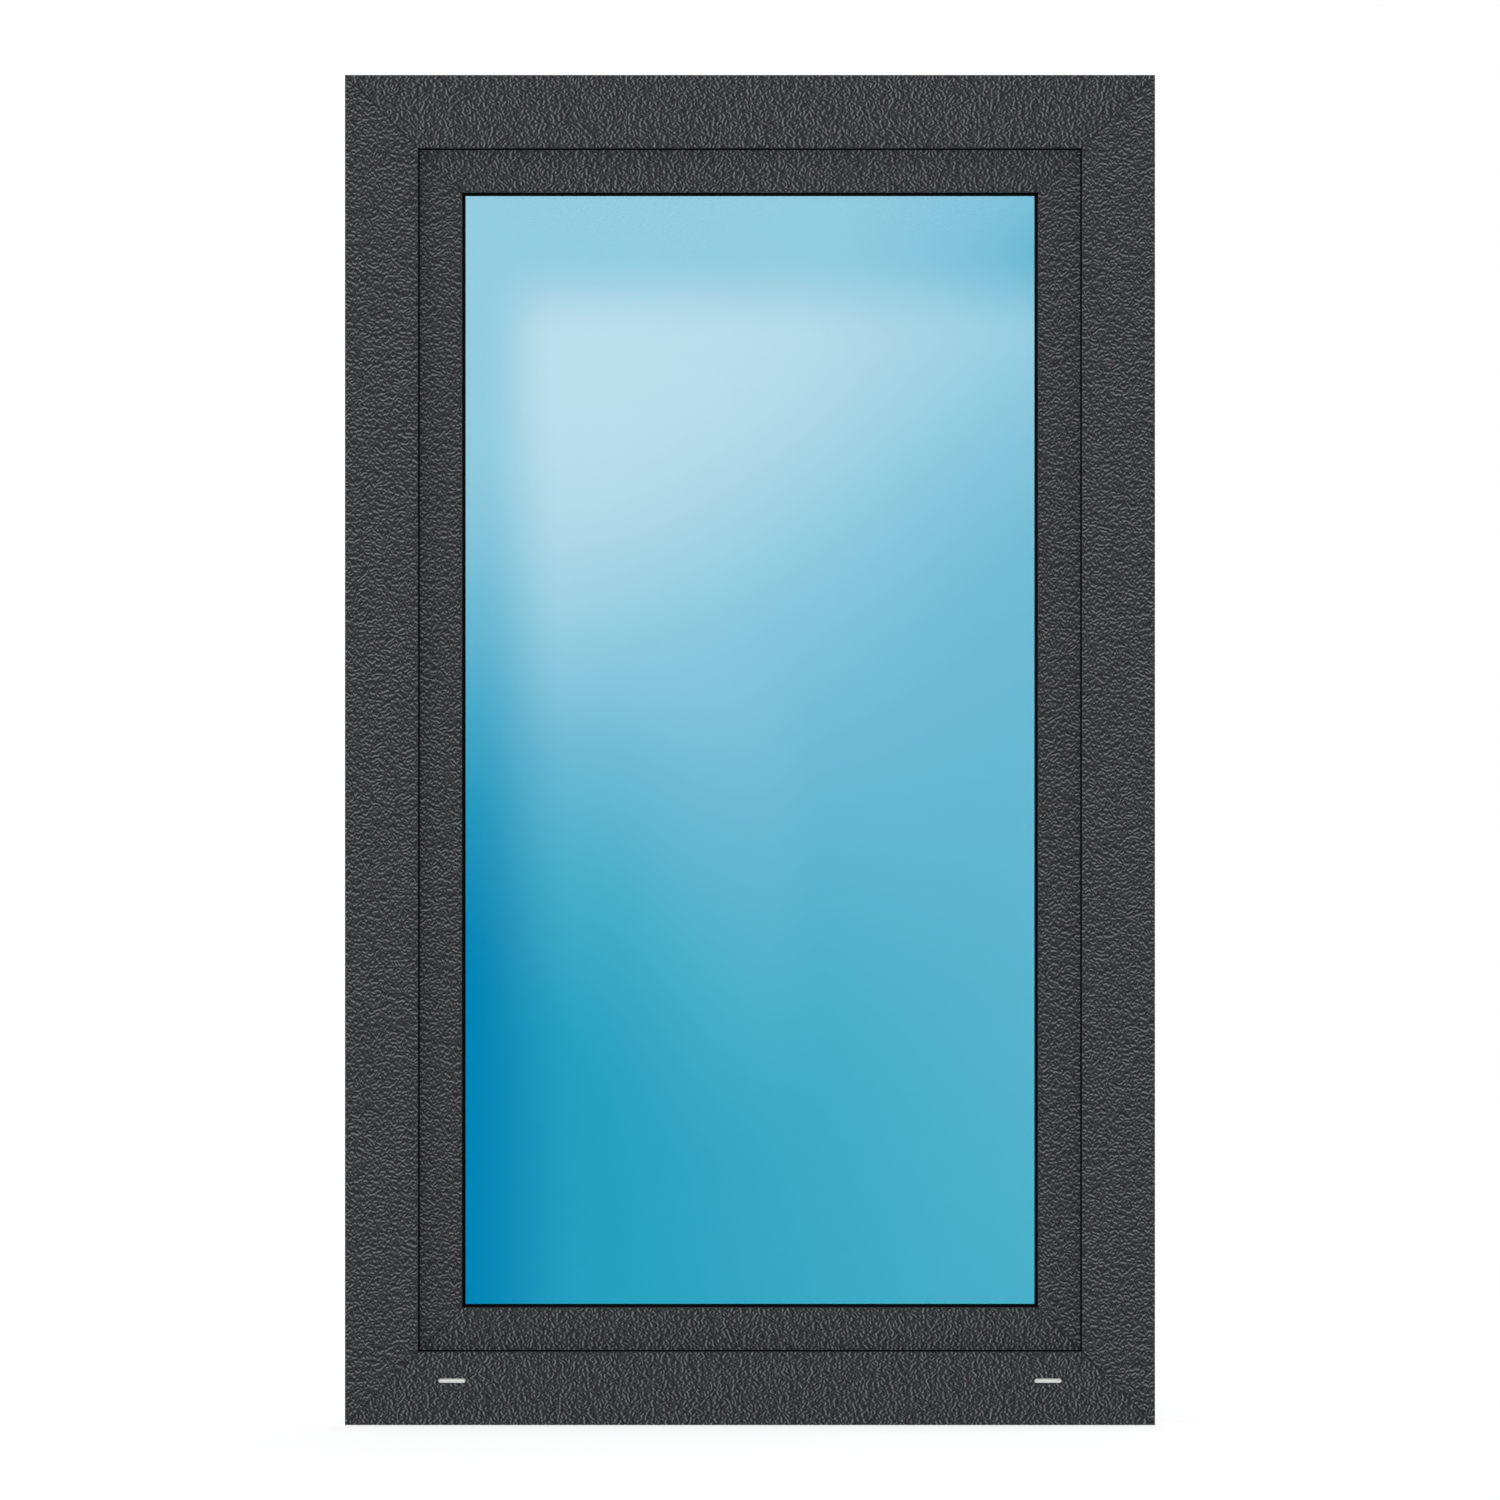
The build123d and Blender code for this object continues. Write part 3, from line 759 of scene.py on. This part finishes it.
class PLASTIC_WINDOW_OT_profiles(bpy.types.Operator):
    """Cover the frame, sash and glazing beads in grained foil"""

    bl_idname = "plastic_window.profiles"
    bl_label = "Cover Profiles in Foil"

    def execute(self, context):
        foil = foil_material(context.scene.window_foil)
        finish_nodes(nodes_named("frame_head", "frame_sill", "frame_jamb"), foil)
        finish_nodes(nodes_named("sash_top", "sash_bottom", "sash_stile", "glazing_bead"), foil)
        return {"FINISHED"}


class PLASTIC_WINDOW_OT_glass(bpy.types.Operator):
    """Finish the two panes and what holds them together"""

    bl_idname = "plastic_window.glass"
    bl_label = "Finish Glass Unit"

    def execute(self, context):
        look = context.scene.window_glass
        hardware = context.scene.window_hardware
        spacer = brushed_material(
            "spacer_metal",
            hardware.spacer,
            hardware.metallic,
            line_width=0.5,
            line_length=20,
            relief=0.02,
            roughness=0.4,
        )
        sealant = mottled_material(
            "edge_sealant",
            hardware.sealant,
            cloud_size=10,
            cloud_strength=0.5,
            pimple_size=1.5,
            relief=0.2,
            roughness=0.6,
            gloss=0.2,
        )
        block = mottled_material(
            "block_plastic",
            hardware.block,
            cloud_size=20,
            cloud_strength=0.2,
            pimple_size=1,
            relief=0.05,
            roughness=0.5,
            gloss=0.4,
        )
        finish_nodes(["outer_pane"], painted_sky_glass_material(look))
        finish_nodes(["inner_pane"], clear_glass_material(look))
        finish_nodes(["spacer_bar"], spacer)
        finish_nodes(["edge_seal"], sealant)
        finish_nodes(["setting_blocks"], block)
        return {"FINISHED"}


class PLASTIC_WINDOW_OT_gaskets(bpy.types.Operator):
    """Finish the four rubber gaskets"""

    bl_idname = "plastic_window.gaskets"
    bl_label = "Finish Gaskets"

    def execute(self, context):
        rubber = mottled_material(
            "gasket_rubber",
            context.scene.window_hardware.rubber,
            cloud_size=30,
            cloud_strength=0.8,
            pimple_size=0.8,
            relief=0.04,
            roughness=0.55,
            gloss=0.04,
        )
        gaskets = ["frame_stop_gasket", "sash_overlap_gasket", "glazing_gasket", "bead_gasket"]
        finish_nodes(gaskets, rubber)
        return {"FINISHED"}


class PLASTIC_WINDOW_OT_handle(bpy.types.Operator):
    """Finish the handle on the room side"""

    bl_idname = "plastic_window.handle"
    bl_label = "Finish Handle"

    def execute(self, context):
        hardware = context.scene.window_hardware
        metal = brushed_material(
            "handle_metal",
            hardware.handle,
            hardware.metallic,
            line_width=0.4,
            line_length=50,
            relief=0.01,
            roughness=0.34,
        )
        finish_nodes(nodes_named("handle"), metal)
        return {"FINISHED"}


class PLASTIC_WINDOW_OT_hinges(bpy.types.Operator):
    """Finish the hinge leaves and pins on the room side"""

    bl_idname = "plastic_window.hinges"
    bl_label = "Finish Hinges"

    def execute(self, context):
        hardware = context.scene.window_hardware
        coat = mottled_material(
            "hinge_metal",
            hardware.hinge,
            cloud_size=20,
            cloud_strength=0.15,
            pimple_size=0.6,
            relief=0.03,
            roughness=0.42,
            gloss=0.5,
        )
        steel = brushed_material(
            "pin_steel",
            hardware.steel,
            hardware.metallic,
            line_width=0.3,
            line_length=4,
            relief=0.01,
            roughness=0.3,
        )
        finish_nodes(nodes_named("hinge", end="leaf"), coat)
        finish_nodes(nodes_named("hinge", end="pin"), steel)
        return {"FINISHED"}


def select_where(mesh_object, kind, test):
    """In edit mode, select the faces or edges that pass a test, and nothing else."""
    bpy.ops.mesh.select_mode(type=kind)
    bpy.ops.mesh.select_all(action="DESELECT")
    bpy.ops.object.mode_set(mode="OBJECT")
    parts = {"FACE": "polygons", "EDGE": "edges"}[kind]
    for part in getattr(mesh_object.data, parts):
        part.select = test(part)
    bpy.ops.object.mode_set(mode="EDIT")


def model_screw(hardware):
    """A low domed screw head with a six-sided socket, which stands on the plane Y = 0."""
    radius = hardware.screw_radius
    height = hardware.screw_height
    socket_radius = hardware.socket_radius
    rim = height * RIM_SHARE
    bpy.ops.object.select_all(action="DESELECT")
    bpy.ops.mesh.primitive_cylinder_add(
        vertices=SCREW_SIDES, radius=radius, depth=rim, location=(0, 0, rim / 2)
    )
    screw = bpy.context.object
    bpy.ops.object.mode_set(mode="EDIT")

    # Dome: two rings step in and up from the rim
    select_where(screw, "FACE", lambda face: face.normal.z > FACES_UP)
    for inward, upward in DOME_RINGS:
        bpy.ops.mesh.inset(thickness=radius * inward, use_boundary=True)
        bpy.ops.transform.translate(value=(0, 0, height * upward))

    # Socket: a six-sided hole joined to the dome's top ring
    bpy.ops.mesh.delete(type="ONLY_FACE")
    bpy.ops.mesh.primitive_circle_add(vertices=SOCKET_SIDES, radius=socket_radius, location=(0, 0, height))
    top = height * (1 - NEARLY)
    select_where(screw, "EDGE", lambda edge: all(screw.data.vertices[v].co.z > top for v in edge.vertices))
    bpy.ops.mesh.bridge_edge_loops()
    reach = socket_radius * (1 + NEARLY)
    select_where(
        screw,
        "EDGE",
        lambda edge: all(screw.data.vertices[v].co.xy.length < reach for v in edge.vertices),
    )
    bpy.ops.mesh.extrude_region_move(TRANSFORM_OT_translate={"value": (0, 0, -height * SOCKET_DEPTH)})
    bpy.ops.mesh.edge_face_add()

    # Stand the screw on the room side, then round its rim
    bpy.ops.mesh.select_all(action="SELECT")
    bpy.ops.mesh.normals_make_consistent(inside=False)
    bpy.ops.object.mode_set(mode="OBJECT")
    screw.rotation_euler.x = -math.pi / 2
    bpy.ops.object.transform_apply(location=True, rotation=True)
    bevel = screw.modifiers.new("rim", "BEVEL")
    bevel.width = radius * RIM_BEVEL
    bevel.segments = 2
    bevel.limit_method = "ANGLE"
    bpy.ops.object.modifier_apply(modifier=bevel.name)
    bpy.ops.object.shade_smooth_by_angle(angle=SMOOTH_ANGLE)
    return screw


def screw_places(leaf, count):
    """Where the screws of one leaf stand: along the middle of the part of its plate beside the barrel."""
    low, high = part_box(leaf)
    pin_low, pin_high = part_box(leaf.replace("frame_leaf", "pin").replace("sash_leaf", "pin"))
    axis = (pin_low.x + pin_high.x) / 2
    barrel = min(high.x - axis, axis - low.x)
    if leaf.endswith("frame_leaf"):
        middle = (axis + barrel + high.x) / 2
        face = low.y + HINGE_PLATE
    else:
        middle = (axis - barrel + low.x) / 2
        face = high.y
    spacing = (high.z - low.z) / count
    return [Vector((middle, face, low.z + spacing * (index + 0.5))) for index in range(count)]


class PLASTIC_WINDOW_OT_hinge_screws(bpy.types.Operator):
    """Model one screw and set a copy of it at each place on the hinge leaves"""

    bl_idname = "plastic_window.hinge_screws"
    bl_label = "Set Hinge Screws"

    def execute(self, context):
        hardware = context.scene.window_hardware
        pattern = model_screw(hardware)
        pattern.data.materials.append(bpy.data.materials["pin_steel"])
        for leaf in nodes_named("hinge", end="leaf"):
            for number, place in enumerate(screw_places(leaf, hardware.screws_per_leaf), start=1):
                screw = pattern.copy()
                screw.data = pattern.data.copy()
                screw.data.transform(Matrix.Translation(place))
                screw.name = f"{leaf}_screw_{number}"
                context.scene.collection.objects.link(screw)
                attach(screw, "root")
        bpy.data.objects.remove(pattern)
        return {"FINISHED"}


def seen_or_mirrored(sketch):
    """A mask that is 1 for what the camera sees by itself, in a mirror or through glass."""
    rays = sketch.node("ShaderNodeLightPath").outputs
    seen = sketch.math("MAXIMUM", rays["Is Camera Ray"], rays["Is Glossy Ray"])
    return sketch.math("MAXIMUM", seen, rays["Is Transmission Ray"])


def white_world(context, ambient):
    """A world that is white to look at and lights the window evenly."""
    world = bpy.data.worlds.new("white_surround")
    world.use_nodes = True
    sketch = NodeSketch(world.node_tree)
    light = sketch.node("ShaderNodeBackground", {"Color": WHITE, "Strength": ambient}).outputs["Background"]
    backdrop = sketch.node("ShaderNodeBackground", {"Color": WHITE, "Strength": 1.0}).outputs["Background"]
    mixed = sketch.mix_shaders(seen_or_mirrored(sketch), light, backdrop)
    sketch.node("ShaderNodeOutputWorld", {"Surface": mixed})
    context.scene.world = world


def pale_floor(look):
    """A white floor that keeps the window's shadow."""
    bpy.ops.object.select_all(action="DESELECT")
    bpy.ops.mesh.primitive_plane_add(size=look.floor_size, location=(0, 0, -FLOOR_DROP))
    floor = bpy.context.object
    floor.name = "floor"
    material, sketch = new_material("pale_floor")
    away = sketch.node("ShaderNodeVectorMath", {0: sketch.place()}, operation="LENGTH").outputs["Value"]
    glow = sketch.fade(away, look.shadow_reach, look.shadow_end, look.floor_glow, 1.0)
    own_light = sketch.fade(away, look.shadow_reach, look.shadow_end, look.floor_light, 1.0)
    matt = sketch.node("ShaderNodeBsdfDiffuse", {"Color": FLOOR_GREY}).outputs["BSDF"]
    white = sketch.node("ShaderNodeEmission", {"Color": WHITE, "Strength": glow}).outputs["Emission"]
    share = sketch.math("MULTIPLY", seen_or_mirrored(sketch), own_light)
    mixed = sketch.mix_shaders(share, matt, white)
    sketch.node("ShaderNodeOutputMaterial", {"Surface": mixed})
    floor.data.materials.append(material)


def soft_light(name, place, target, size, share, mirrored=False):
    """A square soft light whose share of the plain light level reaches its target."""
    away = place - target
    bpy.ops.object.light_add(type="AREA", location=place)
    light = bpy.context.object
    light.name = name
    light.rotation_euler = away.to_track_quat("Z", "Y").to_euler()
    light.data.size = size
    light.data.energy = share * (math.pi * away.length) ** 2
    light.visible_camera = False
    light.visible_transmission = False
    light.visible_glossy = mirrored


def studio_lights(look, middle):
    """One light from above, and three on each side of the window: ahead, beside and to one side above."""
    above = middle + Vector((0, 0, look.light_distance))
    soft_light("top_light", above, middle, look.light_size, look.top_light)
    aside, outward, upward = SIDE_LIGHT_PLACE
    for side, name in ((-1, "outside"), (1, "room")):
        ahead = middle + Vector((0, side * look.light_distance, look.light_rise))
        soft_light(f"{name}_front_light", ahead, middle, look.light_size, look.front_light)
        beside = middle + Vector((side * look.light_distance, 0, look.light_rise))
        soft_light(f"{name}_edge_light", beside, middle, look.light_size, look.edge_light)
        corner = middle + Vector((side * aside, side * outward, upward))
        soft_light(f"{name}_side_light", corner, middle, look.side_light_size, look.side_light, mirrored=True)


def front_camera(context, look, middle):
    """A camera straight ahead of the outside face, far enough away to see it without perspective."""
    bpy.ops.object.camera_add(location=(0, outside_face - look.camera_distance, middle.z))
    camera = context.object
    camera.name = "front_camera"
    camera.rotation_euler.x = math.pi / 2
    camera.data.lens = camera.data.sensor_width * look.camera_distance / look.view_width
    camera.data.clip_end = CAMERA_REACH
    context.scene.camera = camera


class PLASTIC_WINDOW_OT_stage(bpy.types.Operator):
    """Set the floor, the white surround, the soft lights and the camera"""

    bl_idname = "plastic_window.stage"
    bl_label = "Set Stage"

    def execute(self, context):
        look = context.scene.window_stage
        middle = Vector((0, 0, window_height / 2))
        white_world(context, look.ambient)
        pale_floor(look)
        studio_lights(look, middle)
        front_camera(context, look, middle)
        context.scene.view_settings.view_transform = "Standard"
        return {"FINISHED"}


class PLASTIC_WINDOW_PT_sidebar(bpy.types.Panel):
    """Steps and settings of the window"""

    bl_idname = "PLASTIC_WINDOW_PT_sidebar"
    bl_label = "Plastic Window"
    bl_space_type = "VIEW_3D"
    bl_region_type = "UI"
    bl_category = "Window"

    def draw(self, context):
        layout = self.layout
        for step in STEPS:
            layout.operator(step.bl_idname)
        for name in SETTINGS:
            group = getattr(context.scene, name)
            box = layout.box()
            for key in group.__annotations__:
                box.prop(group, key)


SETTINGS = {
    "window_foil": FoilSettings,
    "window_glass": GlassSettings,
    "window_hardware": HardwareSettings,
    "window_stage": StageSettings,
}
STEPS = (
    PLASTIC_WINDOW_OT_profiles,
    PLASTIC_WINDOW_OT_glass,
    PLASTIC_WINDOW_OT_gaskets,
    PLASTIC_WINDOW_OT_handle,
    PLASTIC_WINDOW_OT_hinges,
    PLASTIC_WINDOW_OT_hinge_screws,
    PLASTIC_WINDOW_OT_stage,
)
CLASSES = (*SETTINGS.values(), *STEPS, PLASTIC_WINDOW_PT_sidebar)


def register():
    for made in CLASSES:
        bpy.utils.register_class(made)
    for name, group in SETTINGS.items():
        setattr(bpy.types.Scene, name, PointerProperty(type=group))


def unregister():
    for name in SETTINGS:
        delattr(bpy.types.Scene, name)
    for made in reversed(CLASSES):
        bpy.utils.unregister_class(made)


def main():
    """Finish the window step by step."""
    register()
    bpy.ops.plastic_window.profiles()
    bpy.ops.plastic_window.glass()
    bpy.ops.plastic_window.gaskets()
    bpy.ops.plastic_window.handle()
    bpy.ops.plastic_window.hinges()
    bpy.ops.plastic_window.hinge_screws()
    bpy.ops.plastic_window.stage()


if __name__ == "__main__":
    main()
